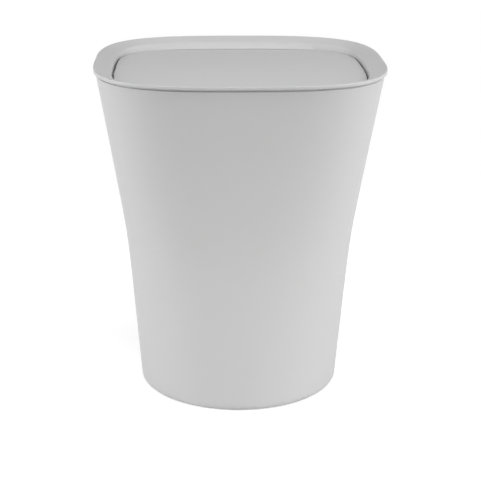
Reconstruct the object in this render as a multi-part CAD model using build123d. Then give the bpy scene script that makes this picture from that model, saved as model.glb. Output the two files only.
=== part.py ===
from build123d import *
import math
import os

# A swing-lid bin: a bucket that is round at the foot and a soft square at the mouth, a lid frame
# that drops into the mouth, and a crowned flap that swings in the frame's opening on two pins.
# Millimetres, +Z up, the origin at the middle of the foot. The pins lie along X, the front is -Y.

# Overall sizes
HEIGHT = 306.0
MOUTH_HALF_WIDTH = 128.0
BEND_HALF_WIDTH = 104.1
BEND_HEIGHT = 147.6
BEND_SOFTNESS = 18.6
FOOT_RADIUS = 92.8

# Plan shape: a circle has the exponent 2, and a higher one is squarer
MOUTH_EXPONENT = 3.18
OPENING_EXPONENT = 3.7
SQUARING_RATE = 1.5

# Bucket
BUCKET_WALL = 2.0
BUCKET_FLOOR = 2.6
FOOT_FILLET = 5.0
FOOT_RING_WIDTH = 5.0
FOOT_RECESS = 2.0
RIM_BEAD = 1.2
RIM_BEAD_HEIGHT = 4.0

# Lid frame
LIP_OVERHANG = 2.0
LIP_FACE = 3.1
LIP_ROUNDING = 0.8
SEAM_GAP = 1.6
SEAT_INSET = 1.1
DECK_WIDTH = 16.6
DECK_DROP = 4.4
DECK_THICKNESS = 2.0
FRAME_WALL = 1.8
OPENING_WALL_DEPTH = 17.5
LEAD_IN_SIDE = 0.6
LEAD_IN_BACK = 3.2
LEAD_IN_DEPTH = 6.0
PLUG_DEPTH = 13.0
PLUG_CLEARANCE = 0.4
WEB_COUNT = 16
WEB_THICKNESS = 1.5
WEB_DEPTH = 8.0

# Flap
FLAP_GAP = 1.6
FLAP_TOP_DROP = 3.2
FLAP_CROWN = 3.3
FLAP_SKIN = 2.0
FLAP_WALL = 1.7
FLAP_DEPTH = 11.0
FLAP_ROUNDING = 1.2

# Cover under the flap, with the trough for the weight
COVER_CLEARANCE = 0.4
COVER_WALL = 1.6
COVER_RIM_HEIGHT = 2.5
COVER_BULGE = 3.0
COVER_SLOPE_WIDTH = 13.0
TROUGH_ROUNDING = 3.0

# Counterweight
WEIGHT_LENGTH = 120.0
WEIGHT_WIDTH = 20.0
WEIGHT_HEIGHT = 6.0
WEIGHT_DROP = 11.0
WEIGHT_CLEARANCE = 0.4
WEIGHT_CHAMFER = 0.6
HOLD_DOWN_SPACING = 80.0
HOLD_DOWN_THICKNESS = 1.6

# Pivots
PIVOT_DROP = 6.9
PIN_DIAMETER = 5.0
PIN_HEAD_DIAMETER = 8.0
PIN_HEAD_HEIGHT = 1.4
PIN_INSERTION = 12.0
PIN_BOSS_WALL = 1.9
RUNNING_CLEARANCE = 0.06
FIT_CLEARANCE = 0.02
BUSH_WALL = 1.6
BUSH_END_GAP = 0.3
HOUSING_WALL = 2.2
HOUSING_LENGTH = 7.2

# Stops: a wedge below each pivot that the flap's skirt lands on
STOP_ANGLE = 75.0
STOP_CLEARANCE = 0.15
STOP_REACH = 2.8
STOP_HEIGHT = 8.0
STOP_TAB_WIDTH = 12.0
STOP_TAB_SETBACK = 0.3

# Screws that hold the cover
SCREW_SPACING_X = 150.0
SCREW_SPACING_Y = 120.0
SCREW_SHANK_DIAMETER = 3.0
SCREW_SHANK_LENGTH = 8.0
SCREW_HEAD_DIAMETER = 6.0
SCREW_HEAD_HEIGHT = 1.8
SCREW_SLOT_DEPTH = 0.9
SCREW_SLOT_WIDTH = 0.9
SCREW_POST_WALL = 2.2

OUTLINE_POINTS = 32
PROFILE_STEPS = 12
ROUNDING_STEPS = 3

# Heights that follow from the sizes above
BUCKET_HEIGHT = HEIGHT - LIP_FACE - SEAM_GAP
LIP_UNDERSIDE = HEIGHT - LIP_FACE
DECK_INNER_Z = HEIGHT - DECK_DROP
OPENING_WALL_BOTTOM = DECK_INNER_Z - OPENING_WALL_DEPTH
FLAP_TOP = DECK_INNER_Z - FLAP_TOP_DROP
PIVOT_Z = FLAP_TOP - PIVOT_DROP
SKIRT_BOTTOM = FLAP_TOP - FLAP_DEPTH
WEIGHT_TOP = PIVOT_Z - WEIGHT_DROP
WEIGHT_BOTTOM = WEIGHT_TOP - WEIGHT_HEIGHT
COVER_BOTTOM = SKIRT_BOTTOM - COVER_BULGE
COVER_FLOOR = COVER_BOTTOM + COVER_WALL

# Half-widths that follow
LIP_HALF = MOUTH_HALF_WIDTH + LIP_OVERHANG
OPENING_HALF = LIP_HALF - DECK_WIDTH
OPENING_WALL_HALF = OPENING_HALF + FRAME_WALL
FLAP_HALF = OPENING_HALF - FLAP_GAP
FLAP_INNER_HALF = FLAP_HALF - FLAP_WALL
COVER_HALF = FLAP_INNER_HALF - COVER_CLEARANCE


def outline(half_width, exponent, z, deeper=0.0):
    """The closed curve |x/a|^n + |y/b|^n = 1 at one height, begun at a corner, with b = a + deeper."""
    points = []
    for i in range(OUTLINE_POINTS):
        angle = math.pi / 4 + 2 * math.pi * i / OUTLINE_POINTS
        c = math.cos(angle)
        s = math.sin(angle)
        reach = (abs(c) ** exponent + abs(s) ** exponent) ** (-1 / exponent)
        points.append((half_width * reach * c, (half_width + deeper) * reach * s, z))
    return Wire([Edge.make_spline(points, periodic=True)])


def stack(*levels, ruled=True):
    """A solid through outlines given as (z, half width, exponent[, deeper]), lowest first."""
    outlines = [outline(half, exponent, z, *deeper) for z, half, exponent, *deeper in levels]
    return Solid.make_loft(outlines, ruled)


def body_half_width(z):
    """The bucket's outside in profile: two straight slopes joined by a soft bend."""
    lower_slope = (BEND_HALF_WIDTH - FOOT_RADIUS) / BEND_HEIGHT
    upper_slope = (MOUTH_HALF_WIDTH - BEND_HALF_WIDTH) / (BUCKET_HEIGHT - BEND_HEIGHT)

    def ramp(u):
        return (u + math.hypot(u, BEND_SOFTNESS)) / 2

    turned = ramp(z - BEND_HEIGHT) - ramp(-BEND_HEIGHT)
    return FOOT_RADIUS + lower_slope * z + (upper_slope - lower_slope) * turned


def body_exponent(z):
    """How square the bucket is at a height: round at the foot, squarest at the mouth."""
    return 2 + (MOUTH_EXPONENT - 2) * (z / BUCKET_HEIGHT) ** SQUARING_RATE


def body_levels(bottom, top, inset):
    """Levels of the bucket's shape, drawn in by an inset, evenly spaced in height."""
    heights = [bottom + (top - bottom) * i / PROFILE_STEPS for i in range(PROFILE_STEPS + 1)]
    return [(z, body_half_width(z) - inset, body_exponent(z)) for z in heights]


def rounded_edge(z, half_width, exponent, radius):
    """Levels of a quarter round that starts flush with the wall at z and closes in by its radius.
    A negative radius rounds the edge below z, and its levels still run from the lowest up."""
    levels = []
    for i in range(ROUNDING_STEPS + 1):
        turn = math.pi / 2 * i / ROUNDING_STEPS
        inset = abs(radius) * (1 - math.cos(turn))
        levels.append((z + radius * math.sin(turn), half_width - inset, exponent))
    return sorted(levels)


def disc(radius, bottom, top):
    """An upright cylinder between two heights."""
    return Pos(0, 0, (bottom + top) / 2) * Cylinder(radius, top - bottom)


def rod(radius, start_x, end_x, z=PIVOT_Z):
    """A cylinder along X between two distances from the middle."""
    return Pos((start_x + end_x) / 2, 0, z) * Rot(0, 90, 0) * Cylinder(radius, abs(end_x - start_x))


def block(x_range, y_range, z_range):
    """A box between two x, two y and two z values."""
    sizes = [high - low for low, high in (x_range, y_range, z_range)]
    middle = [(high + low) / 2 for low, high in (x_range, y_range, z_range)]
    return Pos(*middle) * Box(*sizes)


def on_both_sides(shape):
    """A shape made on the +X side, and its mirror image."""
    return shape + mirror(shape, about=Plane.YZ)


def make_bucket():
    foot_half = body_half_width(FOOT_FILLET)
    foot = stack(*rounded_edge(FOOT_FILLET, foot_half, body_exponent(FOOT_FILLET), -FOOT_FILLET))
    outside = stack(*body_levels(FOOT_FILLET, BUCKET_HEIGHT, 0), ruled=False) + foot
    bead_bottom = BUCKET_HEIGHT - RIM_BEAD_HEIGHT
    bead_start = bead_bottom - RIM_BEAD
    inside = stack(*body_levels(BUCKET_FLOOR + FOOT_RECESS, bead_start, BUCKET_WALL), ruled=False)
    mouth = stack(
        (bead_start, body_half_width(bead_start) - BUCKET_WALL, body_exponent(bead_start)),
        (bead_bottom, body_half_width(bead_bottom) - BUCKET_WALL - RIM_BEAD, body_exponent(bead_bottom)),
        (BUCKET_HEIGHT, MOUTH_HALF_WIDTH - BUCKET_WALL - RIM_BEAD, MOUTH_EXPONENT),
    )
    recess_radius = FOOT_RADIUS - FOOT_FILLET - FOOT_RING_WIDTH
    recess = disc(recess_radius, 0, FOOT_RECESS)
    return outside - inside - mouth - recess


def plug_half(z):
    """The outside of the lid frame's plug skirt, just inside the bucket's rim bead."""
    return body_half_width(z) - BUCKET_WALL - RIM_BEAD - PLUG_CLEARANCE


def opening_levels(grow):
    """Levels of the opening, grown by a wall: upright, then widening to its edge at the deck."""
    widening_from = DECK_INNER_Z - LEAD_IN_DEPTH
    return [
        (OPENING_WALL_BOTTOM, OPENING_HALF + grow, OPENING_EXPONENT),
        (widening_from, OPENING_HALF + grow, OPENING_EXPONENT),
        (DECK_INNER_Z, OPENING_HALF + grow + LEAD_IN_SIDE, OPENING_EXPONENT, LEAD_IN_BACK - LEAD_IN_SIDE),
    ]


def make_stop():
    """The tab below a pivot and its wedge, whose flanks meet the skirt at the stop angle."""
    turn = math.radians(STOP_ANGLE)
    skirt_depth = PIVOT_Z - SKIRT_BOTTOM + STOP_CLEARANCE
    apex = PIVOT_Z - skirt_depth / math.cos(turn)
    half_width = STOP_HEIGHT / math.tan(turn)
    bottom = apex - STOP_HEIGHT
    corners = [(0, apex), (half_width, bottom), (-half_width, bottom)]
    flank = Plane(origin=(OPENING_HALF - STOP_REACH, 0, 0), x_dir=(0, 1, 0), z_dir=(1, 0, 0))
    wedge = extrude(flank * make_face(Polyline(*corners, close=True)), STOP_REACH + FRAME_WALL / 2)
    tab = block(
        (OPENING_HALF + STOP_TAB_SETBACK, OPENING_WALL_HALF + STOP_TAB_SETBACK),
        (-STOP_TAB_WIDTH / 2, STOP_TAB_WIDTH / 2),
        (bottom, OPENING_WALL_BOTTOM + FRAME_WALL),
    )
    return tab + wedge


def make_lid_frame():
    plug_bottom = BUCKET_HEIGHT - PLUG_DEPTH
    plug = stack(
        (plug_bottom, plug_half(plug_bottom), body_exponent(plug_bottom)),
        (BUCKET_HEIGHT, plug_half(BUCKET_HEIGHT), MOUTH_EXPONENT),
    )
    seat_half = MOUTH_HALF_WIDTH - SEAT_INSET
    seat = stack(
        (BUCKET_HEIGHT, seat_half, MOUTH_EXPONENT),
        (HEIGHT - LIP_ROUNDING, seat_half, MOUTH_EXPONENT),
    )
    lip = stack(
        *rounded_edge(LIP_UNDERSIDE + LIP_ROUNDING, LIP_HALF, MOUTH_EXPONENT, -LIP_ROUNDING),
        *rounded_edge(HEIGHT - LIP_ROUNDING, LIP_HALF, MOUTH_EXPONENT, LIP_ROUNDING),
    )

    crest_half = LIP_HALF - LIP_ROUNDING
    above_deck = stack(
        (DECK_INNER_Z, OPENING_HALF, OPENING_EXPONENT),
        (HEIGHT, crest_half, MOUTH_EXPONENT),
    )
    above_underside = Pos(0, 0, -DECK_THICKNESS) * above_deck
    hollow = stack(
        (plug_bottom, plug_half(plug_bottom) - FRAME_WALL, body_exponent(plug_bottom)),
        (BUCKET_HEIGHT, plug_half(BUCKET_HEIGHT) - FRAME_WALL, MOUTH_EXPONENT),
    )
    web = block(
        (OPENING_HALF, LIP_HALF * 2),
        (-WEB_THICKNESS / 2, WEB_THICKNESS / 2),
        (DECK_INNER_Z - WEB_DEPTH, DECK_INNER_Z),
    )
    half_step = 180 / WEB_COUNT
    webs = [Rot(0, 0, half_step + 360 * i / WEB_COUNT) * web for i in range(WEB_COUNT)]
    hollow = hollow - above_underside - webs
    wall = stack(*opening_levels(FRAME_WALL))
    housing_radius = PIN_DIAMETER / 2 + BUSH_WALL + HOUSING_WALL
    housing_end = OPENING_HALF + HOUSING_LENGTH
    housing = rod(housing_radius, OPENING_HALF + FRAME_WALL / 2, housing_end)
    bore_radius = PIN_DIAMETER / 2 + BUSH_WALL + FIT_CLEARANCE
    bush_bore = rod(bore_radius, OPENING_HALF - FLAP_GAP, housing_end)
    gusset = block(
        (OPENING_HALF + FRAME_WALL / 2, housing_end),
        (-housing_radius, housing_radius),
        (PIVOT_Z, DECK_INNER_Z - DECK_THICKNESS / 2),
    )
    way_in = rod(PIN_HEAD_DIAMETER / 2 + PLUG_CLEARANCE, housing_end, LIP_HALF)
    edge = opening_levels(0)[-1]
    opening = stack(*opening_levels(0), (HEIGHT, *edge[1:]))
    frame = plug + seat + lip - hollow + wall + on_both_sides(housing + gusset)
    frame = frame - above_deck - opening
    return frame + on_both_sides(make_stop()) - on_both_sides(bush_bore + way_in)


def crown(drop):
    """Everything under the flap's crown, a wide arch about X, lowered by a drop."""
    radius = (FLAP_HALF ** 2 + FLAP_CROWN ** 2) / (2 * FLAP_CROWN)
    top = FLAP_TOP - drop
    slab = block((-LIP_HALF, LIP_HALF), (-LIP_HALF, LIP_HALF), (top - radius / 4, top))
    return Pos(0, 0, top - radius) * Rot(0, 90, 0) * Cylinder(radius, 2 * LIP_HALF) & slab


def screw_places():
    """The middles of the four cover screws."""
    return [(x * SCREW_SPACING_X / 2, y * SCREW_SPACING_Y / 2) for x in (-1, 1) for y in (-1, 1)]


def make_flap_panel():
    upright = stack(
        (SKIRT_BOTTOM, FLAP_HALF, OPENING_EXPONENT),
        (DECK_INNER_Z, FLAP_HALF, OPENING_EXPONENT),
    )
    outside = upright & crown(0)
    top_edge = outside.faces().sort_by(Axis.Z)[-1].edges()
    outside = fillet(top_edge, FLAP_ROUNDING)
    bore = stack(
        (SKIRT_BOTTOM, FLAP_INNER_HALF, OPENING_EXPONENT),
        (DECK_INNER_Z, FLAP_INNER_HALF, OPENING_EXPONENT),
    )
    panel = outside - (bore & crown(FLAP_SKIN))

    boss_radius = PIN_DIAMETER / 2 + PIN_BOSS_WALL
    boss_start = FLAP_HALF - PIN_INSERTION
    boss_end = FLAP_HALF - FLAP_WALL / 2
    boss = rod(boss_radius, boss_start, boss_end)
    rib_top = FLAP_TOP - FLAP_SKIN / 2
    rib = block((boss_start, boss_end), (-boss_radius, boss_radius), (PIVOT_Z, rib_top))
    pin_bore = rod(PIN_DIAMETER / 2 + FIT_CLEARANCE, boss_start, OPENING_HALF)
    post = disc(SCREW_SHANK_DIAMETER / 2 + SCREW_POST_WALL, COVER_FLOOR, FLAP_TOP)
    posts = [Pos(x, y, 0) * post & crown(FLAP_SKIN / 2) for x, y in screw_places()]
    hole = disc(SCREW_SHANK_DIAMETER / 2, COVER_FLOOR, COVER_BOTTOM + SCREW_SHANK_LENGTH)
    holes = [Pos(x, y, 0) * hole for x, y in screw_places()]
    hold_down = block(
        (-HOLD_DOWN_THICKNESS / 2, HOLD_DOWN_THICKNESS / 2),
        (-WEIGHT_WIDTH / 2, WEIGHT_WIDTH / 2),
        (WEIGHT_TOP, FLAP_TOP - FLAP_SKIN),
    )
    hold_down = Pos(HOLD_DOWN_SPACING / 2, 0, 0) * hold_down
    panel = panel + [on_both_sides(boss + rib), on_both_sides(hold_down), *posts]
    return panel - [on_both_sides(pin_bore), *holes]


def trough(grow, bottom):
    """A box round the weight, grown sideways, from a height up to the cover's floor."""
    half_length = WEIGHT_LENGTH / 2 + grow
    half_width = WEIGHT_WIDTH / 2 + grow
    return block((-half_length, half_length), (-half_width, half_width), (bottom, COVER_FLOOR))


def make_flap_underside():
    floor_half = COVER_HALF - COVER_SLOPE_WIDTH
    outside = stack(
        (COVER_BOTTOM, floor_half, OPENING_EXPONENT),
        (SKIRT_BOTTOM, COVER_HALF, OPENING_EXPONENT),
        (SKIRT_BOTTOM + COVER_RIM_HEIGHT, COVER_HALF, OPENING_EXPONENT),
    )
    inside = stack(
        (COVER_FLOOR, floor_half, OPENING_EXPONENT),
        (SKIRT_BOTTOM + COVER_WALL, COVER_HALF - COVER_WALL, OPENING_EXPONENT),
        (SKIRT_BOTTOM + COVER_RIM_HEIGHT, COVER_HALF - COVER_WALL, OPENING_EXPONENT),
    )
    box = trough(WEIGHT_CLEARANCE + COVER_WALL, WEIGHT_BOTTOM - COVER_WALL)
    box = fillet(box.edges().group_by(Axis.Z)[0] + box.edges().filter_by(Axis.Z), TROUGH_ROUNDING)
    cover = outside - inside + box - trough(WEIGHT_CLEARANCE, WEIGHT_BOTTOM)
    boss_room = PIN_DIAMETER / 2 + PIN_BOSS_WALL + COVER_CLEARANCE
    cover = cover - on_both_sides(rod(boss_room, FLAP_HALF - PIN_INSERTION - COVER_CLEARANCE, LIP_HALF))
    hole = disc(SCREW_SHANK_DIAMETER / 2 + COVER_CLEARANCE / 2, COVER_BOTTOM, COVER_FLOOR)
    return cover - [Pos(x, y, 0) * hole for x, y in screw_places()]


def make_counterweight():
    bar = block(
        (-WEIGHT_LENGTH / 2, WEIGHT_LENGTH / 2),
        (-WEIGHT_WIDTH / 2, WEIGHT_WIDTH / 2),
        (WEIGHT_BOTTOM, WEIGHT_TOP),
    )
    return chamfer(bar.edges(), WEIGHT_CHAMFER)


def make_pin():
    """A headed pin on the +X side, from inside the flap's boss to its head outside the bush."""
    head_start = OPENING_HALF + HOUSING_LENGTH + BUSH_END_GAP
    shank = rod(PIN_DIAMETER / 2, FLAP_HALF - PIN_INSERTION, head_start)
    head = rod(PIN_HEAD_DIAMETER / 2, head_start, head_start + PIN_HEAD_HEIGHT)
    head = fillet(head.edges().group_by(Axis.X)[-1], PIN_HEAD_HEIGHT / 2)
    return shank + head


def make_bush():
    """The bush on the +X side, flush with the ends of its housing."""
    start = OPENING_HALF
    end = OPENING_HALF + HOUSING_LENGTH
    bore = rod(PIN_DIAMETER / 2 + RUNNING_CLEARANCE, start, end)
    return rod(PIN_DIAMETER / 2 + BUSH_WALL, start, end) - bore


def make_screws():
    shank = disc(SCREW_SHANK_DIAMETER / 2, COVER_BOTTOM, COVER_BOTTOM + SCREW_SHANK_LENGTH)
    head = disc(SCREW_HEAD_DIAMETER / 2, COVER_BOTTOM - SCREW_HEAD_HEIGHT, COVER_BOTTOM)
    head = fillet(head.edges().group_by(Axis.Z)[0], SCREW_HEAD_HEIGHT / 2)
    slot_top = COVER_BOTTOM - SCREW_HEAD_HEIGHT + SCREW_SLOT_DEPTH
    slot_half = SCREW_SLOT_WIDTH / 2
    slot = block(
        (-SCREW_HEAD_DIAMETER, SCREW_HEAD_DIAMETER),
        (-slot_half, slot_half),
        (slot_top - SCREW_HEAD_HEIGHT, slot_top),
    )
    screw = shank + head - slot
    return Compound([Pos(x, y, 0) * screw.solid() for x, y in screw_places()])


parts = {
    "bucket": make_bucket(),
    "lid_frame": make_lid_frame(),
    "flap_panel": make_flap_panel(),
    "flap_underside": make_flap_underside(),
    "counterweight": make_counterweight(),
    "pivot_pin_right": make_pin(),
    "pivot_pin_left": mirror(make_pin(), about=Plane.YZ),
    "pivot_bush_right": make_bush(),
    "pivot_bush_left": mirror(make_bush(), about=Plane.YZ),
    "underside_screws": make_screws(),
}

os.makedirs("parts", exist_ok=True)
for name, shape in parts.items():
    export_step(shape, f"parts/{name}.step")
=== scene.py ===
import math

import bmesh
import bpy
from mathutils import Matrix, Vector


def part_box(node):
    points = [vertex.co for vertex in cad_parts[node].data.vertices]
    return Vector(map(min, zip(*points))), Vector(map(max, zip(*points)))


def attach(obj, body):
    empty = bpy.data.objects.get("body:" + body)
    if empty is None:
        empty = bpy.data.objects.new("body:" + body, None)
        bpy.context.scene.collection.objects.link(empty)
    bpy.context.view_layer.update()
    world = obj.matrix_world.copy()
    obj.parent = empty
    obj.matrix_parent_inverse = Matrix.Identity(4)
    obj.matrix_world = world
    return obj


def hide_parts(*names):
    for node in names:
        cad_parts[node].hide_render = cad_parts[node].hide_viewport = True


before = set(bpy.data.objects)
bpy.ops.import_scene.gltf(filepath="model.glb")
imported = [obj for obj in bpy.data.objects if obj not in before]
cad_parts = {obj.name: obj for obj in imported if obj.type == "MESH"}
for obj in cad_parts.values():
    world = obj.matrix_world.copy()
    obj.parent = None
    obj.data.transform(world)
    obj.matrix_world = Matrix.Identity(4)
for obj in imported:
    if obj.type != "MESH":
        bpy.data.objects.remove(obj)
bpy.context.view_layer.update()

MM = 0.001

# Sizes read from the frame
bucket_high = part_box("bucket")[1]
lid_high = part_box("lid_frame")[1]
flap_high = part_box("flap_panel")[1]
pin_low, pin_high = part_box("pivot_pin_right")
bush_low, bush_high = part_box("pivot_bush_right")
weight_low, weight_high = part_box("counterweight")
screw_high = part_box("underside_screws")[1]
HEIGHT = lid_high.z
BUCKET_TOP = bucket_high.z
MOUTH_HALF = bucket_high.x
LIP_HALF = lid_high.x
FLAP_HALF = flap_high.x
FLAP_TOP = flap_high.z
OPENING_HALF = bush_low.x
PIVOT_Z = (pin_low.z + pin_high.z) / 2

# Plan shapes: a higher exponent than the circle's is squarer
CIRCLE = 2.0
MOUTH_EXPONENT = 3.18
OPENING_EXPONENT = 3.7
SQUARING_RATE = 1.5

# The bucket
FOOT_RADIUS = 92.8 * MM
BEND_HALF = 104.1 * MM
BEND_HEIGHT = 147.6 * MM
BEND_SOFTNESS = 18.6 * MM
FOOT_FILLET = 5.0 * MM
FOOT_RING_WIDTH = 5.0 * MM
FOOT_RECESS = 2.0 * MM
BUCKET_WALL = 2.0 * MM
FLOOR_TOP = 4.6 * MM
FLOOR_FILLET = 4.0 * MM
RIM_BEAD = 1.2 * MM
RIM_BEAD_HEIGHT = 4.0 * MM
RIM_ROUNDING = 0.5 * MM

# The lid frame
LIP_FACE = 3.1 * MM
LIP_ROUNDING = 0.8 * MM
SEAT_INSET = 1.1 * MM
DECK_DROP = 4.4 * MM
DECK_THICKNESS = 2.0 * MM
DECK_EDGE_ROUNDING = 0.5 * MM
LEAD_IN_SIDE = 0.6 * MM
LEAD_IN_BACK = 4.4 * MM
LEAD_IN_DEPTH = 6.0 * MM
FRAME_WALL = 1.8 * MM
OPENING_WALL_DEPTH = 17.5 * MM
PLUG_DEPTH = 13.0 * MM
PLUG_CLEARANCE = 0.4 * MM
MOULDED_EDGE = 0.3 * MM
WEB_COUNT = 16
WEB_THICKNESS = 1.5 * MM
WEB_DEPTH = 8.0 * MM
WEB_BITE = 0.5 * MM
HOUSING_WALL = 2.2 * MM
HOUSING_BITE = 0.9 * MM
WAY_IN_CLEARANCE = 0.4 * MM

# The stop below each pivot, a wedge that the flap's skirt lands on
STOP_ANGLE = 75.0
STOP_CLEARANCE = 0.15 * MM
STOP_REACH = 2.8 * MM
STOP_HEIGHT = 8.0 * MM
STOP_TAB_WIDTH = 12.0 * MM
STOP_TAB_SETBACK = 0.3 * MM

# The flap
FLAP_CROWN = 3.3 * MM
FLAP_SKIN = 2.0 * MM
FLAP_WALL = 1.7 * MM
FLAP_DEPTH = 11.0 * MM
FLAP_ROUNDING = 1.2 * MM
PIN_BOSS_WALL = 1.9 * MM
PIN_RADIUS = 2.5 * MM
FIT_CLEARANCE = 0.02 * MM
SCREW_SPACING_X = 150.0 * MM
SCREW_SPACING_Y = 120.0 * MM
SCREW_POST_RADIUS = 3.7 * MM
SCREW_RADIUS = 1.5 * MM
SCREW_HOLE_DEPTH = 6.4 * MM
HOLD_DOWN_SPACING = 80.0 * MM
HOLD_DOWN_THICKNESS = 1.6 * MM

# How finely the shapes are drawn
SEGMENTS = 256
ROUND_SEGMENTS = 48
WALL_STEPS = 72
DECK_STEPS = 8
FLAP_STEPS = 26
ARC_STEPS = 5
MERGE_DISTANCE = 0.002 * MM
SHARP_DEGREES = 35

# The finishes
BODY_LEVEL = 0.59
FRAME_LEVEL = 0.565
FLAP_LEVEL = 0.60
COVER_LEVEL = 0.56
PLASTIC_IOR = 1.49

# The floor and the light
FLOOR_HALF = 6.0
FLOOR_BOUNCE = 0.60
FLOOR_LIFT = 0.62
SHADOW_REACH = 0.24
WHITE_FROM = 0.80
WORLD_LIGHT = 0.12
AIM_HEIGHT = HEIGHT * 0.6
SEEN_RAYS = ("Is Camera Ray", "Is Glossy Ray", "Is Transmission Ray")

# The photograph's viewpoint
CAMERA_PLACE = (-38.0 * MM, -1210.9 * MM, 522.0 * MM)
CAMERA_PAN = 0.0328
CAMERA_TILT = 0.3105
CAMERA_ROLL = 0.0032
PICTURE_WIDTH = 481
FOCAL_PIXELS = 1348.5
SENSOR_WIDTH = 36.0

# Sizes that follow from those above
DECK_INNER_Z = HEIGHT - DECK_DROP
LEAD_IN_Z = DECK_INNER_Z - LEAD_IN_DEPTH
LEAD_IN_EXTRA = LEAD_IN_BACK - LEAD_IN_SIDE
WALL_BOTTOM = DECK_INNER_Z - OPENING_WALL_DEPTH
OPENING_WALL_HALF = OPENING_HALF + FRAME_WALL
PLUG_INSET = BUCKET_WALL + RIM_BEAD + PLUG_CLEARANCE
PLUG_INNER_HALF = MOUTH_HALF - PLUG_INSET - FRAME_WALL
BUSH_RADIUS = (bush_high.z - bush_low.z) / 2 + FIT_CLEARANCE
WAY_IN_RADIUS = (pin_high.z - pin_low.z) / 2 + WAY_IN_CLEARANCE
HOUSING_END = bush_high.x
PIN_BORE = PIN_RADIUS + FIT_CLEARANCE
POST_BOTTOM = screw_high.z - SCREW_HOLE_DEPTH
SKIRT_BOTTOM = FLAP_TOP - FLAP_DEPTH
ARCH_RADIUS = (FLAP_HALF ** 2 + FLAP_CROWN ** 2) / (2 * FLAP_CROWN)


def plan_radius(cosine, sine, half, exponent):
    """How far |x/a|^n + |y/a|^n = 1 lies from its middle in one direction, for numbers or sockets."""
    return half * (abs(cosine) ** exponent + abs(sine) ** exponent) ** (-1 / exponent)


class Socket:
    """A value in a node tree. Arithmetic on it adds Math nodes."""

    def __init__(self, tree, output):
        self.tree = tree
        self.output = output

    def math(self, operation, *values):
        """A Math node with this value first."""
        return math_node(self.tree, operation, self, *values)

    def after(self, operation, first):
        """A Math node with this value second."""
        return math_node(self.tree, operation, first, self)

    def __add__(self, other):
        return self.math("ADD", other)

    def __radd__(self, other):
        return self.after("ADD", other)

    def __sub__(self, other):
        return self.math("SUBTRACT", other)

    def __rsub__(self, other):
        return self.after("SUBTRACT", other)

    def __mul__(self, other):
        return self.math("MULTIPLY", other)

    def __rmul__(self, other):
        return self.after("MULTIPLY", other)

    def __truediv__(self, other):
        return self.math("DIVIDE", other)

    def __rtruediv__(self, other):
        return self.after("DIVIDE", other)

    def __pow__(self, other):
        return self.math("POWER", other)

    def __abs__(self):
        return self.math("ABSOLUTE")

    def clamped(self):
        node = self.tree.nodes.new("ShaderNodeClamp")
        plug_in(self.tree, node.inputs[0], self)
        return Socket(self.tree, node.outputs[0])


def plug_in(tree, slot, value):
    """Links a socket, or sets a plain value."""
    if isinstance(value, Socket):
        tree.links.new(value.output, slot)
    else:
        slot.default_value = value


def math_node(tree, operation, *values):
    """A Math node on values or sockets."""
    node = tree.nodes.new("ShaderNodeMath")
    node.operation = operation
    for slot, value in zip(node.inputs, values):
        plug_in(tree, slot, value)
    return Socket(tree, node.outputs[0])


def new_object(name, data):
    """An object that is linked to the scene."""
    obj = bpy.data.objects.new(name, data)
    bpy.context.scene.collection.objects.link(obj)
    return obj


class Wiring:
    """A node tree, and one way to add any node to it."""

    def __init__(self, tree):
        self.tree = tree

    def node(self, kind, settings=None, out=0, **sockets):
        """Adds a node: its settings first, then values or links by socket name."""
        node = self.tree.nodes.new(kind)
        for key, value in (settings or {}).items():
            setattr(node, key, value)
        for key, value in sockets.items():
            plug_in(self.tree, node.inputs[key.replace("_", " ")], value)
        return Socket(self.tree, node.outputs[out])

    def vector(self, x, y, z):
        return self.node("ShaderNodeCombineXYZ", X=x, Y=y, Z=z)


class Pattern(Wiring):
    """A Geometry Nodes tree with named inputs, which ends in real geometry with its material."""

    def __init__(self, name, **inputs):
        super().__init__(bpy.data.node_groups.new(name, "GeometryNodeTree"))
        add = self.tree.interface.new_socket
        add("Geometry", in_out="OUTPUT", socket_type="NodeSocketGeometry")
        for key, kind in {"Geometry": "Geometry", "Material": "Material", **inputs}.items():
            add(key.replace("_", " "), in_out="INPUT", socket_type="NodeSocket" + kind)
        self.entry = self.tree.nodes.new("NodeGroupInput")

    def given(self, name):
        return Socket(self.tree, self.entry.outputs[name])

    def end(self, geometry):
        real = self.node("GeometryNodeRealizeInstances", Geometry=geometry)
        dressed = self.node("GeometryNodeSetMaterial", Geometry=real, Material=self.given("Material"))
        last = self.tree.nodes.new("NodeGroupOutput")
        plug_in(self.tree, last.inputs[0], dressed)

    def grow(self, name, seed_mesh, material, **values):
        """Runs the tree on a mesh, and gives the result as an object with a plain mesh."""
        obj = new_object(name, seed_mesh)
        modifier = obj.modifiers.new(name, "NODES")
        modifier.node_group = self.tree
        values = {"Material": material, **{key.replace("_", " "): value for key, value in values.items()}}
        for item in self.tree.interface.items_tree:
            if item.in_out == "INPUT" and item.name in values:
                modifier[item.identifier] = values[item.name]
        settle(obj)
        return obj


def smooth(mesh):
    """Shades a mesh smooth but for its sharp edges."""
    mesh.shade_smooth()
    mesh.set_sharp_from_angle(angle=math.radians(SHARP_DEGREES))


def settle(obj):
    """Applies an object's modifiers, merges doubles, turns faces outwards and shades it smooth."""
    ready = obj.evaluated_get(bpy.context.evaluated_depsgraph_get())
    mesh = bpy.data.meshes.new_from_object(ready)
    obj.modifiers.clear()
    obj.data = mesh
    work = bmesh.new()
    work.from_mesh(mesh)
    bmesh.ops.remove_doubles(work, verts=work.verts, dist=MERGE_DISTANCE)
    bmesh.ops.dissolve_degenerate(work, edges=work.edges, dist=MERGE_DISTANCE / 4)
    bmesh.ops.recalc_face_normals(work, faces=work.faces)
    work.to_mesh(mesh)
    work.free()
    smooth(mesh)


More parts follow.
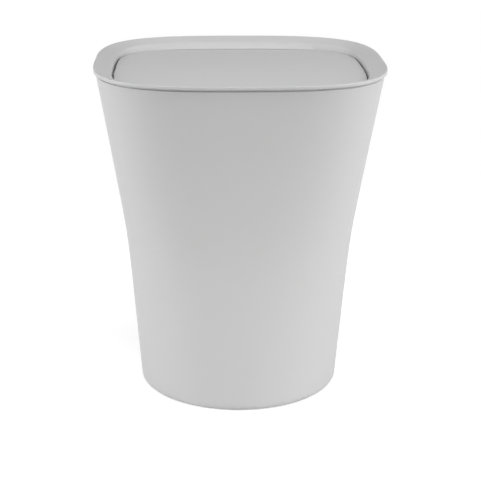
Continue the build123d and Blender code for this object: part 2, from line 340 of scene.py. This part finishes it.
def make_plan_lathe():
    """Sweeps a profile round the Z axis on the plan curve. The profile is a row of points with the
    half width in X, the height in Z, and as attributes the plan's exponent, the share of arch, and
    how much deeper than wide the plan is."""
    lathe = Pattern("plan_lathe", Segments="Int", Arch_Radius="Float")
    profile = lathe.given("Geometry")
    count = lathe.node("GeometryNodeAttributeDomainSize", Geometry=profile)
    sheet = lathe.tree.nodes.new("GeometryNodeMeshGrid")
    plug_in(lathe.tree, sheet.inputs["Vertices X"], lathe.given("Segments") + 1)
    plug_in(lathe.tree, sheet.inputs["Vertices Y"], count)
    chart = Socket(lathe.tree, sheet.outputs["UV Map"])
    turn = lathe.node("ShaderNodeSeparateXYZ", Vector=chart) * (2 * math.pi)
    row = (lathe.node("ShaderNodeSeparateXYZ", out=1, Vector=chart) * (count - 1)).math("ROUND")

    def from_profile(field, kind="FLOAT"):
        return lathe.node(
            "GeometryNodeSampleIndex", {"data_type": kind}, Geometry=profile, Value=field, Index=row
        )

    def attribute(name):
        return from_profile(lathe.node("GeometryNodeInputNamedAttribute", {"data_type": "FLOAT"}, Name=name))

    place = from_profile(lathe.node("GeometryNodeInputPosition"), "FLOAT_VECTOR")
    half = lathe.node("ShaderNodeSeparateXYZ", Vector=place)
    height = lathe.node("ShaderNodeSeparateXYZ", out=2, Vector=place)
    cosine = turn.math("COSINE")
    sine = turn.math("SINE")
    reach = plan_radius(cosine, sine, 1.0, attribute("exponent"))
    across = reach * sine * (half + attribute("deeper"))
    arch = lathe.given("Arch Radius")
    drop = arch - (arch * arch - across * across).math("SQRT")
    swept = lathe.node(
        "GeometryNodeSetPosition",
        Geometry=Socket(lathe.tree, sheet.outputs["Mesh"]),
        Position=lathe.vector(reach * cosine * half, across, height - drop * attribute("arch")),
    )
    lathe.end(lathe.node("GeometryNodeMergeByDistance", Geometry=swept, Distance=MERGE_DISTANCE))
    return lathe


def make_web_ring():
    """Copies one web of unit length round the frame, each as long as the room between two plans."""
    ring = Pattern(
        "web_ring", Count="Int", Bite="Float",
        Inner_Half="Float", Inner_Exponent="Float", Outer_Half="Float", Outer_Exponent="Float",
    )
    turn = (ring.node("GeometryNodeInputIndex") + 0.5) * (2 * math.pi) / ring.given("Count")
    cosine = turn.math("COSINE")
    sine = turn.math("SINE")
    inner = plan_radius(cosine, sine, ring.given("Inner Half"), ring.given("Inner Exponent"))
    outer = plan_radius(cosine, sine, ring.given("Outer Half"), ring.given("Outer Exponent"))
    start = inner - ring.given("Bite")
    end = outer + ring.given("Bite")
    middle = (start + end) * 0.5
    places = ring.vector(middle * cosine, middle * sine, 0.0)
    points = ring.node("GeometryNodePoints", Count=ring.given("Count"), Position=places)
    ring.end(ring.node(
        "GeometryNodeInstanceOnPoints",
        Points=points, Instance=ring.given("Geometry"),
        Rotation=ring.vector(0.0, 0.0, turn), Scale=ring.vector(end - start, 1.0, 1.0),
    ))
    return ring


def make_four_corners():
    """Copies a piece to the corners of a rectangle."""
    corners = Pattern("four_corners", Spacing_X="Float", Spacing_Y="Float")
    sheet = corners.tree.nodes.new("GeometryNodeMeshGrid")
    plug_in(corners.tree, sheet.inputs["Size X"], corners.given("Spacing X"))
    plug_in(corners.tree, sheet.inputs["Size Y"], corners.given("Spacing Y"))
    sheet.inputs["Vertices X"].default_value = 2
    sheet.inputs["Vertices Y"].default_value = 2
    places = Socket(corners.tree, sheet.outputs["Mesh"])
    piece = corners.given("Geometry")
    corners.end(corners.node("GeometryNodeInstanceOnPoints", Points=places, Instance=piece))
    return corners


def point(half, z, exponent, arch=0.0, deeper=0.0):
    """A profile point: half width, height, plan exponent, share of arch, and extra depth of the plan."""
    return (half, z, exponent, arch, deeper)


def arc(half, z, radius, start, end, exponent, arch=0.0, deeper=0.0):
    """Profile points round an edge; 0 degrees faces outwards and 90 up."""
    turns = [math.radians(start + (end - start) * i / ARC_STEPS) for i in range(ARC_STEPS + 1)]
    places = [(half + radius * math.cos(turn), z + radius * math.sin(turn)) for turn in turns]
    return [point(*place, exponent, arch, deeper) for place in places]


def between(first, last, steps):
    """Profile points strictly between two others."""
    return [tuple(a + (b - a) * i / steps for a, b in zip(first, last)) for i in range(1, steps)]


def profile_mesh(profile):
    """A row of joined points, with what the lathe needs to know of each as attributes."""
    mesh = bpy.data.meshes.new("profile")
    links = [(i, i + 1) for i in range(len(profile) - 1)]
    mesh.from_pydata([(row[0], 0, row[1]) for row in profile], links, [])
    for name, column in (("exponent", 2), ("arch", 3), ("deeper", 4)):
        layer = mesh.attributes.new(name, "FLOAT", "POINT")
        layer.data.foreach_set("value", [row[column] for row in profile])
    return mesh


def sweep(name, profile, material, segments=SEGMENTS):
    """A closed moulding from a profile that starts and ends on the axis, or where it began."""
    values = {"Segments": segments, "Arch_Radius": ARCH_RADIUS}
    return plan_lathe.grow(name, profile_mesh(profile), material, **values)


def prism(mesh, corners, x_range):
    """Adds a solid between two x values, with its outline given as (y, z) corners."""
    low, high = [[mesh.verts.new((x, y, z)) for y, z in corners] for x in x_range]
    mesh.faces.new(low)
    mesh.faces.new(high)
    for i in range(len(corners)):
        k = (i + 1) % len(corners)
        mesh.faces.new((low[i], low[k], high[k], high[i]))


def rectangle(y_range, z_range):
    y_low, y_high = y_range
    z_low, z_high = z_range
    return [(y_low, z_low), (y_high, z_low), (y_high, z_high), (y_low, z_high)]


def bearing(mesh, x_range, radius, bore, top):
    """Adds a block round a bore on the pivot's axis: round below, and square up to a height."""
    outer = []
    inner = []
    rise = top - PIVOT_Z
    step = 2 * math.pi / ROUND_SEGMENTS
    corner = step * round(math.atan2(rise, radius) / step)
    for i in range(ROUND_SEGMENTS):
        turn = step * i
        y, z = math.cos(turn), math.sin(turn)
        inner.append((bore * y, PIVOT_Z + bore * z))
        if turn >= math.pi:
            outer.append((radius * y, PIVOT_Z + radius * z))
        elif corner <= turn <= math.pi - corner:
            across = min(max(rise * y / z, -radius), radius)
            across = math.copysign(radius, y) if min(turn, math.pi - turn) < corner + step / 2 else across
            outer.append((across, top))
        else:
            outer.append((math.copysign(radius, y), PIVOT_Z + min(radius * z / abs(y), rise)))
    rows = []
    for x in x_range:
        for line in (outer, inner):
            rows.append([mesh.verts.new((x, y, z)) for y, z in line])
    outer_low, inner_low, outer_high, inner_high = rows
    pairs = (
        (outer_low, inner_low), (outer_high, inner_high),
        (outer_low, outer_high), (inner_low, inner_high),
    )
    for first, second in pairs:
        for i in range(ROUND_SEGMENTS):
            k = (i + 1) % ROUND_SEGMENTS
            mesh.faces.new((first[i], first[k], second[k], second[i]))


def solids(name, add_to, material):
    """An object made by a function that adds closed solids to a bmesh."""
    work = bmesh.new()
    add_to(work)
    bmesh.ops.recalc_face_normals(work, faces=work.faces)
    mesh = bpy.data.meshes.new(name)
    work.to_mesh(mesh)
    work.free()
    obj = new_object(name, mesh)
    mesh.materials.append(material)
    settle(obj)
    return obj


def cut_away(obj, tool):
    """Takes one closed shell out of another, and removes the tool."""
    cut = obj.modifiers.new("cut", "BOOLEAN")
    cut.operation = "DIFFERENCE"
    cut.solver = "EXACT"
    cut.object = tool
    settle(obj)
    bpy.data.objects.remove(tool)


def bored(obj, *rods):
    """Cuts rods along X, given as (radius, x range), out of a closed shell."""
    def add_rods(work):
        for radius, x_range in rods:
            turns = [2 * math.pi * i / ROUND_SEGMENTS for i in range(ROUND_SEGMENTS)]
            prism(work, [(radius * math.cos(t), PIVOT_Z + radius * math.sin(t)) for t in turns], x_range)

    cut_away(obj, solids("drill", add_rods, obj.data.materials[0]))


def joined(obj, *others):
    """Puts other objects' meshes into the first one's mesh."""
    work = bmesh.new()
    for part in (obj, *others):
        work.from_mesh(part.data)
    work.to_mesh(obj.data)
    work.free()
    for part in others:
        bpy.data.objects.remove(part)
    smooth(obj.data)
    return obj


def body_half(z):
    """The bucket's outside in profile: two straight slopes joined by a soft bend."""
    lower = (BEND_HALF - FOOT_RADIUS) / BEND_HEIGHT
    upper = (MOUTH_HALF - BEND_HALF) / (BUCKET_TOP - BEND_HEIGHT)

    def ramp(u):
        return (u + math.hypot(u, BEND_SOFTNESS)) / 2

    return FOOT_RADIUS + lower * z + (upper - lower) * (ramp(z - BEND_HEIGHT) - ramp(-BEND_HEIGHT))


def body_exponent(z):
    """How square the bucket is at a height."""
    return CIRCLE + (MOUTH_EXPONENT - CIRCLE) * (max(z, 0) / BUCKET_TOP) ** SQUARING_RATE


def body_point(z, inset):
    """A profile point of the bucket's shape, drawn in by an inset."""
    return point(body_half(z) - inset, z, body_exponent(z))


def heights(low, high, steps):
    """Evenly spaced heights, both ends included."""
    return [low + (high - low) * i / (steps - 1) for i in range(steps)]


def make_bucket(material):
    ring_inner = FOOT_RADIUS - FOOT_FILLET - FOOT_RING_WIDTH
    profile = [point(0.0, FOOT_RECESS, CIRCLE), point(ring_inner, FOOT_RECESS, CIRCLE)]
    profile += arc(ring_inner + MOULDED_EDGE, MOULDED_EDGE, MOULDED_EDGE, 180, 270, CIRCLE)
    foot_exponent = body_exponent(FOOT_FILLET)
    profile += arc(body_half(FOOT_FILLET) - FOOT_FILLET, FOOT_FILLET, FOOT_FILLET, -90, 0, foot_exponent)
    rim_z = BUCKET_TOP - RIM_ROUNDING
    profile += [body_point(z, 0) for z in heights(FOOT_FILLET, rim_z, WALL_STEPS)[1:]]
    rim_outer = MOUTH_HALF - RIM_ROUNDING
    rim_inner = MOUTH_HALF - BUCKET_WALL - RIM_BEAD + RIM_ROUNDING
    profile += arc(rim_outer, rim_z, RIM_ROUNDING, 0, 90, MOUTH_EXPONENT)[1:]
    profile += arc(rim_inner, rim_z, RIM_ROUNDING, 90, 180, MOUTH_EXPONENT)
    bead_z = BUCKET_TOP - RIM_BEAD_HEIGHT
    profile.append(body_point(bead_z, BUCKET_WALL + RIM_BEAD))
    corner_z = FLOOR_TOP + FLOOR_FILLET
    profile += [body_point(z, BUCKET_WALL) for z in heights(bead_z - RIM_BEAD, corner_z, WALL_STEPS)]
    inner_half = body_half(corner_z) - BUCKET_WALL - FLOOR_FILLET
    profile += arc(inner_half, corner_z, FLOOR_FILLET, 0, -90, body_exponent(corner_z))[1:]
    profile.append(point(0.0, FLOOR_TOP, body_exponent(corner_z)))
    return sweep("bucket_shell", profile, material)


def make_frame_shell(material):
    """The deck, lip, seat and plug skirt of the lid frame, and the wall round its opening."""
    edge = MOULDED_EDGE
    lip_bottom = HEIGHT - LIP_FACE
    crest = LIP_HALF - LIP_ROUNDING
    slope = math.degrees(math.atan2(DECK_DROP, crest - OPENING_HALF))
    lean = math.degrees(math.atan2(LEAD_IN_SIDE, LEAD_IN_DEPTH))
    deeper = LEAD_IN_EXTRA
    top_edge_half = OPENING_HALF + LEAD_IN_SIDE + DECK_EDGE_ROUNDING
    top_edge_z = DECK_INNER_Z - DECK_EDGE_ROUNDING
    profile = [point(OPENING_HALF, LEAD_IN_Z, OPENING_EXPONENT)]
    profile += arc(
        top_edge_half, top_edge_z, DECK_EDGE_ROUNDING, 180 - lean, 90 + slope, OPENING_EXPONENT, deeper=deeper
    )
    profile += between(profile[-1], point(crest, HEIGHT, MOUTH_EXPONENT), DECK_STEPS)
    profile += arc(crest, HEIGHT - LIP_ROUNDING, LIP_ROUNDING, 90, 0, MOUTH_EXPONENT)
    profile += arc(crest, lip_bottom + LIP_ROUNDING, LIP_ROUNDING, 0, -90, MOUTH_EXPONENT)
    seat_half = MOUTH_HALF - SEAT_INSET
    profile += [point(seat_half, z, MOUTH_EXPONENT) for z in (lip_bottom, BUCKET_TOP)]
    plug_bottom = BUCKET_TOP - PLUG_DEPTH
    bottom_half = body_half(plug_bottom) - PLUG_INSET
    bottom_exponent = body_exponent(plug_bottom)
    profile.append(point(MOUTH_HALF - PLUG_INSET, BUCKET_TOP, MOUTH_EXPONENT))
    profile += arc(bottom_half - edge, plug_bottom + edge, edge, 0, -90, bottom_exponent)
    profile += arc(bottom_half - FRAME_WALL + edge, plug_bottom + edge, edge, 270, 180, bottom_exponent)
    under_z = DECK_INNER_Z - DECK_THICKNESS
    reach = (PLUG_INNER_HALF - OPENING_HALF) / (crest - OPENING_HALF)
    widened = 1 - DECK_THICKNESS / LEAD_IN_DEPTH
    under_half = OPENING_WALL_HALF + LEAD_IN_SIDE * widened
    profile.append(point(PLUG_INNER_HALF, under_z + DECK_DROP * reach, MOUTH_EXPONENT))
    profile.append(point(under_half, under_z, OPENING_EXPONENT, deeper=deeper * widened))
    profile.append(point(OPENING_WALL_HALF, LEAD_IN_Z, OPENING_EXPONENT))
    profile += arc(OPENING_WALL_HALF - edge, WALL_BOTTOM + edge, edge, 0, -90, OPENING_EXPONENT)
    profile += arc(OPENING_HALF + edge, WALL_BOTTOM + edge, edge, 270, 180, OPENING_EXPONENT)
    shell = sweep("lid_frame_shell", profile + profile[:1], material)
    bored(shell, (BUSH_RADIUS, (-HOUSING_END, HOUSING_END)))
    bored(shell, (WAY_IN_RADIUS, (HOUSING_END, LIP_HALF)), (WAY_IN_RADIUS, (-LIP_HALF, -HOUSING_END)))
    return shell


def make_webs(material):
    """The stiffening webs under the deck, grown from one web of unit length and cut to the wall's lean."""
    def add_web(work):
        half = WEB_THICKNESS / 2
        low = DECK_INNER_Z - WEB_DEPTH
        high = DECK_INNER_Z - DECK_THICKNESS / 2
        prism(work, rectangle((-half, half), (low, high)), (-0.5, 0.5))

    seed = solids("web", add_web, material)
    webs = web_ring.grow(
        "webs", seed.data, material, Count=WEB_COUNT, Bite=WEB_BITE,
        Inner_Half=OPENING_WALL_HALF, Inner_Exponent=OPENING_EXPONENT,
        Outer_Half=PLUG_INNER_HALF, Outer_Exponent=MOUTH_EXPONENT,
    )
    bpy.data.objects.remove(seed)
    half = OPENING_HALF + FRAME_WALL / 2
    room = [
        point(0.0, WALL_BOTTOM, OPENING_EXPONENT),
        point(half, WALL_BOTTOM, OPENING_EXPONENT),
        point(half, LEAD_IN_Z, OPENING_EXPONENT),
        point(half + LEAD_IN_SIDE, DECK_INNER_Z, OPENING_EXPONENT, deeper=LEAD_IN_EXTRA),
        point(0.0, DECK_INNER_Z, OPENING_EXPONENT),
    ]
    cut_away(webs, sweep("opening_room", room, material))
    return webs


def add_frame_fittings(work):
    """The housings that carry the bushes, and the stops below them, on both sides."""
    turn = math.radians(STOP_ANGLE)
    skirt_depth = PIVOT_Z - SKIRT_BOTTOM + STOP_CLEARANCE
    apex = PIVOT_Z - skirt_depth / math.cos(turn)
    bottom = apex - STOP_HEIGHT
    wedge_half = STOP_HEIGHT / math.tan(turn)
    tab = rectangle((-STOP_TAB_WIDTH / 2, STOP_TAB_WIDTH / 2), (bottom, WALL_BOTTOM + FRAME_WALL))
    wedge = [(0, apex), (wedge_half, bottom), (-wedge_half, bottom)]
    housing_radius = BUSH_RADIUS + HOUSING_WALL
    for side in (1, -1):
        housing = (side * (OPENING_HALF + HOUSING_BITE), side * HOUSING_END)
        bearing(work, housing, housing_radius, BUSH_RADIUS, DECK_INNER_Z - DECK_THICKNESS / 2)
        tab_start = OPENING_HALF + STOP_TAB_SETBACK
        prism(work, tab, (side * tab_start, side * (tab_start + FRAME_WALL)))
        prism(work, wedge, (side * (OPENING_HALF - STOP_REACH), side * (OPENING_HALF + FRAME_WALL / 2)))


def make_lid_frame(material):
    fittings = solids("fittings", add_frame_fittings, material)
    return joined(make_frame_shell(material), make_webs(material), fittings)


def make_flap_shell(material):
    """The flap's crowned top and its skirt."""
    edge = MOULDED_EDGE
    flat = FLAP_HALF - FLAP_ROUNDING
    inner = FLAP_HALF - FLAP_WALL
    profile = [point(flat * i / FLAP_STEPS, FLAP_TOP, OPENING_EXPONENT, 1.0) for i in range(FLAP_STEPS)]
    profile += arc(flat, FLAP_TOP - FLAP_ROUNDING, FLAP_ROUNDING, 90, 0, OPENING_EXPONENT, 1.0)
    profile += arc(FLAP_HALF - edge, SKIRT_BOTTOM + edge, edge, 0, -90, OPENING_EXPONENT)
    profile += arc(inner + edge, SKIRT_BOTTOM + edge, edge, 270, 180, OPENING_EXPONENT)
    under = FLAP_TOP - FLAP_SKIN
    steps = range(FLAP_STEPS, -1, -1)
    profile += [point(inner * i / FLAP_STEPS, under, OPENING_EXPONENT, 1.0) for i in steps]
    shell = sweep("flap_top", profile, material)
    bored(shell, (PIN_BORE, (-FLAP_HALF - edge, FLAP_HALF + edge)))
    return shell


def add_flap_fittings(work):
    """The bosses that hold the pins, and the tabs that hold the weight down."""
    boss_end = FLAP_HALF - FLAP_WALL / 2
    hold_down = rectangle((weight_low.y, weight_high.y), (weight_high.z, FLAP_TOP - FLAP_SKIN))
    boss_top = FLAP_TOP - FLAP_SKIN / 2
    for side in (1, -1):
        bearing(work, (side * pin_low.x, side * boss_end), PIN_BORE + PIN_BOSS_WALL, PIN_BORE, boss_top)
        start = HOLD_DOWN_SPACING / 2 - HOLD_DOWN_THICKNESS / 2
        prism(work, hold_down, (side * start, side * (start + HOLD_DOWN_THICKNESS)))


def make_screw_posts(material):
    """A post with a blind hole for each screw of the cover."""
    top = FLAP_TOP - FLAP_SKIN / 2 - ARCH_RADIUS + math.sqrt(ARCH_RADIUS ** 2 - SCREW_SPACING_Y ** 2 / 4)
    hole_top = POST_BOTTOM + SCREW_HOLE_DEPTH
    outline = (
        (0.0, top), (SCREW_POST_RADIUS, top), (SCREW_POST_RADIUS, POST_BOTTOM),
        (SCREW_RADIUS, POST_BOTTOM), (SCREW_RADIUS, hole_top), (0.0, hole_top),
    )
    post = sweep("post", [point(half, z, CIRCLE) for half, z in outline], material, ROUND_SEGMENTS)
    spacing = {"Spacing_X": SCREW_SPACING_X, "Spacing_Y": SCREW_SPACING_Y}
    posts = four_corners.grow("posts", post.data, material, **spacing)
    bpy.data.objects.remove(post)
    return posts


def make_flap(material):
    fittings = solids("flap_fittings", add_flap_fittings, material)
    return joined(make_flap_shell(material), fittings, make_screw_posts(material))


class Finish(Wiring):
    """A material and its node tree."""

    def __init__(self, name):
        self.material = bpy.data.materials.new(name)
        self.material.use_nodes = True
        super().__init__(self.material.node_tree)
        self.tree.nodes.clear()

    def place(self):
        return self.node("ShaderNodeTexCoord", out=3)

    def noise(self, scale, detail=3.0, roughness=0.5, stretch=(1, 1, 1)):
        """A noise pattern whose grain is 1/scale metres, stretched along the axes."""
        spread = self.node("ShaderNodeMapping", Vector=self.place(), Scale=stretch)
        return self.node("ShaderNodeTexNoise", Vector=spread, Scale=scale, Detail=detail, Roughness=roughness)

    def height(self):
        """The height above the floor, in metres."""
        return self.node("ShaderNodeSeparateXYZ", out=2, Vector=self.place())

    def mix(self, factor, first, second):
        node = self.tree.nodes.new("ShaderNodeMix")
        node.data_type = "RGBA"
        plug_in(self.tree, node.inputs[0], factor)
        plug_in(self.tree, node.inputs[6], first)
        plug_in(self.tree, node.inputs[7], second)
        return Socket(self.tree, node.outputs[2])

    def ramp(self, value, low, high):
        """0 below low, 1 above high and a straight line between."""
        sockets = {"Value": value, "From Min": low, "From Max": high}
        return self.node("ShaderNodeMapRange", {"clamp": True}, **sockets)

    def bump(self, height, distance):
        return self.node("ShaderNodeBump", Height=height, Distance=distance, Strength=1.0)

    def surface(self, color, roughness, normal, metallic=0.0):
        shader = self.node(
            "ShaderNodeBsdfPrincipled",
            Base_Color=color, Roughness=roughness, Normal=normal, Metallic=metallic, IOR=PLASTIC_IOR,
        )
        out = self.tree.nodes.new("ShaderNodeOutputMaterial")
        plug_in(self.tree, out.inputs[0], shader)
        return self.material


def grey(level):
    return (level, level, level, 1.0)


def moulded_plastic(name, level, scuffed_foot=False):
    """Satin polypropylene with a fine moulded grain, faint flow marks and hairline scratches."""
    finish = Finish(name)
    cloud = finish.noise(9, 4, 0.55)
    mottle = finish.noise(420, 2, 0.5)
    flow = finish.noise(26, 3, 0.6, stretch=(1, 1, 0.16))
    tone = (cloud - 0.5) * 0.030 + (mottle - 0.5) * 0.018 + (flow - 0.5) * 0.012
    share = (tone + 0.5).clamped()
    color = finish.mix(share, grey(level * 0.86), grey(level * 1.14))
    fine = finish.noise(1500, 2, 0.55)
    scratch = finish.ramp(finish.noise(300, 1, 0.4, stretch=(1, 0.05, 1)), 0.70, 0.76)
    roughness = 0.56 + (fine - 0.5) * 0.10 + (cloud - 0.5) * 0.08 + scratch * 0.06
    if scuffed_foot:
        foot = 1 - finish.ramp(finish.height(), 0.001, 0.007)
        scuff = finish.ramp(finish.noise(160, 4, 0.7), 0.48, 0.62) * foot
        color = finish.mix(scuff * 0.35, color, grey(level * 0.62))
        roughness = roughness + scuff * 0.2
    relief = fine * 0.7 + mottle * 0.3 - scratch * 0.25
    return finish.surface(color, roughness, finish.bump(relief, 0.018 * MM))


def rolled_steel(name):
    """Plain cold-rolled bar with drawn lines along its length and a little dulling."""
    finish = Finish(name)
    lines = finish.noise(900, 3, 0.6, stretch=(0.03, 1, 1))
    dull = finish.noise(60, 4, 0.6)
    color = finish.mix(dull, grey(0.46), (0.60, 0.60, 0.61, 1.0))
    roughness = 0.30 + lines * 0.14 + dull * 0.12
    return finish.surface(color, roughness, finish.bump(lines, 0.01 * MM), metallic=1.0)


def slippery_plastic(name):
    """Acetal bushes: whiter and smoother than the mouldings, with a fine grain and faint clouding."""
    finish = Finish(name)
    grain = finish.noise(2200, 2, 0.5)
    cloud = finish.noise(120, 3, 0.5)
    color = finish.mix(cloud, (0.70, 0.70, 0.67, 1.0), (0.78, 0.78, 0.75, 1.0))
    return finish.surface(color, 0.30 + grain * 0.1, finish.bump(grain, 0.008 * MM))


def dress(obj, material):
    """Puts one material on a whole object."""
    obj.data.materials.clear()
    obj.data.materials.append(material)


def ray_share(wiring, *kinds):
    """1 for rays of the given kinds, and 0 for the rest."""
    path = wiring.tree.nodes.new("ShaderNodeLightPath")
    share = Socket(wiring.tree, path.outputs[kinds[0]])
    for kind in kinds[1:]:
        share = share + Socket(wiring.tree, path.outputs[kind])
    return share.clamped()


def make_floor():
    """A pale floor that keeps the bin's soft shadow and turns to plain white away from the bin."""
    mesh = bpy.data.meshes.new("floor")
    corners = [(x * FLOOR_HALF, y * FLOOR_HALF, 0) for x, y in ((-1, -1), (1, -1), (1, 1), (-1, 1))]
    mesh.from_pydata(corners, [], [(0, 1, 2, 3)])
    floor = new_object("floor", mesh)
    finish = Finish("floor_paper")
    seen = ray_share(finish, *SEEN_RAYS)
    speckle = finish.noise(90, 3, 0.5)
    paper = finish.mix(speckle, grey(FLOOR_BOUNCE * 0.985), grey(FLOOR_BOUNCE * 1.015))
    matte = finish.node("ShaderNodeBsdfDiffuse", Color=paper)
    glow = finish.node("ShaderNodeEmission", Strength=seen * FLOOR_LIFT)
    near = finish.node("ShaderNodeAddShader")
    plug_in(finish.tree, near.output.node.inputs[0], matte)
    plug_in(finish.tree, near.output.node.inputs[1], glow)
    distance = finish.node("ShaderNodeVectorMath", {"operation": "LENGTH"}, out=1, Vector=finish.place())
    far = finish.ramp(distance, SHADOW_REACH, WHITE_FROM) * seen
    mixed = finish.tree.nodes.new("ShaderNodeMixShader")
    plug_in(finish.tree, mixed.inputs[0], far)
    plug_in(finish.tree, mixed.inputs[1], near)
    plug_in(finish.tree, mixed.inputs[2], finish.node("ShaderNodeEmission", Strength=1.0))
    out = finish.tree.nodes.new("ShaderNodeOutputMaterial")
    plug_in(finish.tree, out.inputs[0], Socket(finish.tree, mixed.outputs[0]))
    dress(floor, finish.material)


def make_world():
    """White to the camera and to rays passing through clear things, and a low even light."""
    world = bpy.data.worlds.new("studio")
    world.use_nodes = True
    bpy.context.scene.world = world
    wiring = Wiring(world.node_tree)
    wiring.tree.nodes.clear()
    strength = ray_share(wiring, "Is Camera Ray", "Is Transmission Ray") * (1 - WORLD_LIGHT) + WORLD_LIGHT
    background = wiring.node("ShaderNodeBackground", Color=grey(1.0), Strength=strength)
    out = wiring.tree.nodes.new("ShaderNodeOutputWorld")
    plug_in(wiring.tree, out.inputs[0], background)


def softbox(name, place, target, width, height, power):
    """A rectangular studio lamp aimed at a point, outside the picture."""
    lamp = bpy.data.lights.new(name, "AREA")
    lamp.shape = "RECTANGLE"
    lamp.size = width
    lamp.size_y = height
    lamp.energy = power
    obj = new_object(name, lamp)
    obj.location = place
    obj.rotation_euler = (Vector(target) - Vector(place)).to_track_quat("-Z", "Y").to_euler()
    obj.visible_camera = False


def make_lights():
    """Soft lamps from all sides, and a low one that lifts the foot's rounding."""
    middle = (0, 0, AIM_HEIGHT)
    foot = (0, 0, 0.02)
    softbox("left_softbox", (-1.6, -0.5, 0.7), middle, 1.2, 1.4, 14.2)
    softbox("left_side", (-1.7, 0.1, 0.5), middle, 1.0, 1.0, 6.0)
    softbox("right_softbox", (1.6, -0.5, 0.7), middle, 1.2, 1.4, 22.6)
    softbox("overhead_front", (0, -0.5, 1.6), middle, 0.8, 0.4, 10.2)
    softbox("front_high", (0, -1.9, 1.5), middle, 1.2, 0.8, 4.2)
    softbox("left_back", (-1.3, 0.9, 0.7), middle, 1.0, 1.4, 1.6)
    softbox("right_back", (1.3, 0.9, 0.7), middle, 1.0, 1.4, 1.6)
    softbox("behind", (0, 1.9, 0.18), middle, 1.8, 0.34, 9.0)
    softbox("foot_front", (0, -0.38, 0.03), foot, 0.50, 0.05, 0.20)


def make_camera():
    """The camera at the photograph's viewpoint, fitted to the bin's outline, lip and opening."""
    data = bpy.data.cameras.new("camera")
    data.sensor_fit = "HORIZONTAL"
    data.sensor_width = SENSOR_WIDTH
    data.lens = SENSOR_WIDTH * FOCAL_PIXELS / PICTURE_WIDTH
    data.clip_start = 0.05
    data.clip_end = 50
    camera = new_object("camera", data)
    level = math.cos(CAMERA_TILT)
    forward = Vector((math.sin(CAMERA_PAN) * level, math.cos(CAMERA_PAN) * level, -math.sin(CAMERA_TILT)))
    right = forward.cross(Vector((0, 0, 1))).normalized()
    up = right.cross(forward)
    rolled_right = math.cos(CAMERA_ROLL) * right + math.sin(CAMERA_ROLL) * up
    rolled_up = math.cos(CAMERA_ROLL) * up - math.sin(CAMERA_ROLL) * right
    turn = Matrix((rolled_right, rolled_up, -forward)).transposed()
    camera.matrix_world = Matrix.Translation(CAMERA_PLACE) @ turn.to_4x4()
    bpy.context.scene.camera = camera


plan_lathe = make_plan_lathe()
web_ring = make_web_ring()
four_corners = make_four_corners()

body_plastic = moulded_plastic("body_plastic", BODY_LEVEL, scuffed_foot=True)
frame_plastic = moulded_plastic("frame_plastic", FRAME_LEVEL)
flap_plastic = moulded_plastic("flap_plastic", FLAP_LEVEL)
cover_plastic = moulded_plastic("cover_plastic", COVER_LEVEL)
steel = rolled_steel("steel_bar")
bush_plastic = slippery_plastic("bush_plastic")

mouldings = (
    (make_bucket(body_plastic), "bucket", "bucket", "body_plastic"),
    (make_lid_frame(frame_plastic), "lid", "lid_frame", "lid_plastic"),
    (make_flap(flap_plastic), "flap", "flap_panel", "lid_plastic"),
)
for piece, body, replaced, slot in mouldings:
    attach(piece, body)
    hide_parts(replaced)

dress(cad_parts["flap_underside"], cover_plastic)
for node in ("counterweight", "pivot_pin_left", "pivot_pin_right", "underside_screws"):
    dress(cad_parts[node], steel)
for node in ("pivot_bush_left", "pivot_bush_right"):
    dress(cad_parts[node], bush_plastic)

make_floor()
make_world()
make_lights()
make_camera()
bpy.context.scene.view_settings.view_transform = "Standard"
